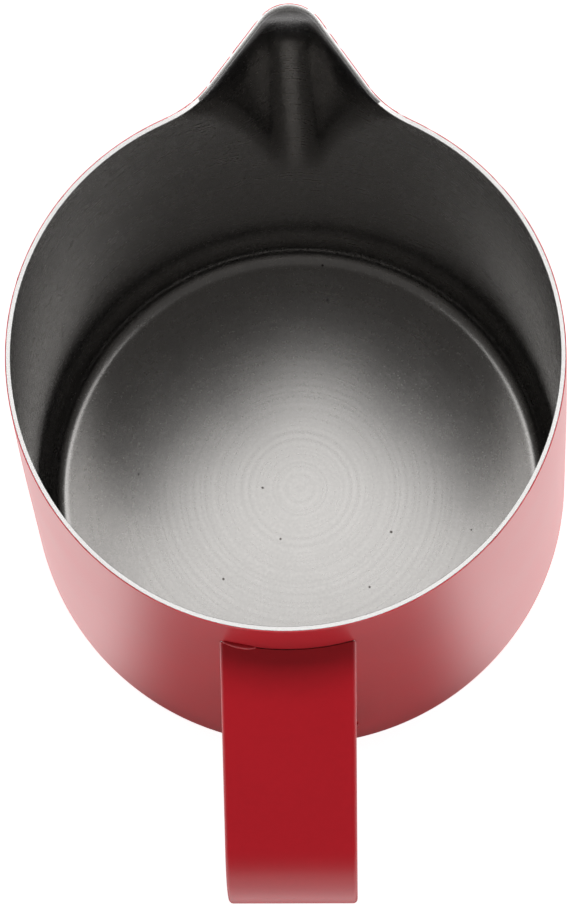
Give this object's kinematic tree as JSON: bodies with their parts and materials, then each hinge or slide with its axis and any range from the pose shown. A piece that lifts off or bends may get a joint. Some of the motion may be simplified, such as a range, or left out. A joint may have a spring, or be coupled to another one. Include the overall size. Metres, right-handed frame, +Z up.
{
  "type": "milk frothing pitcher",
  "caption": "Bell-shaped steel milk pitcher with a pressed pouring spout, flat strap handle and red powder coat outside, bare brushed steel inside.",
  "frame": {"origin": "on the bell's axis, on the flat underside that the pitcher stands on", "axes": "+Z up, +Y from the axis to the spout's tip, handle on the -Y side, +X to the right with the handle in front"},
  "size_m": [0.0986, 0.133, 0.1114],
  "materials": {
    "brushed_steel": "fine spun satin, ground bright at the rim",
    "red_coat": "satin powder coat"
  },
  "bodies": {
    "root": {"body_shell": "brushed_steel", "body_coat": "red_coat", "handle_strap": "brushed_steel", "handle_coat": "red_coat", "upper_weld": "red_coat", "lower_weld": "red_coat"}
  },
  "joints": []
}
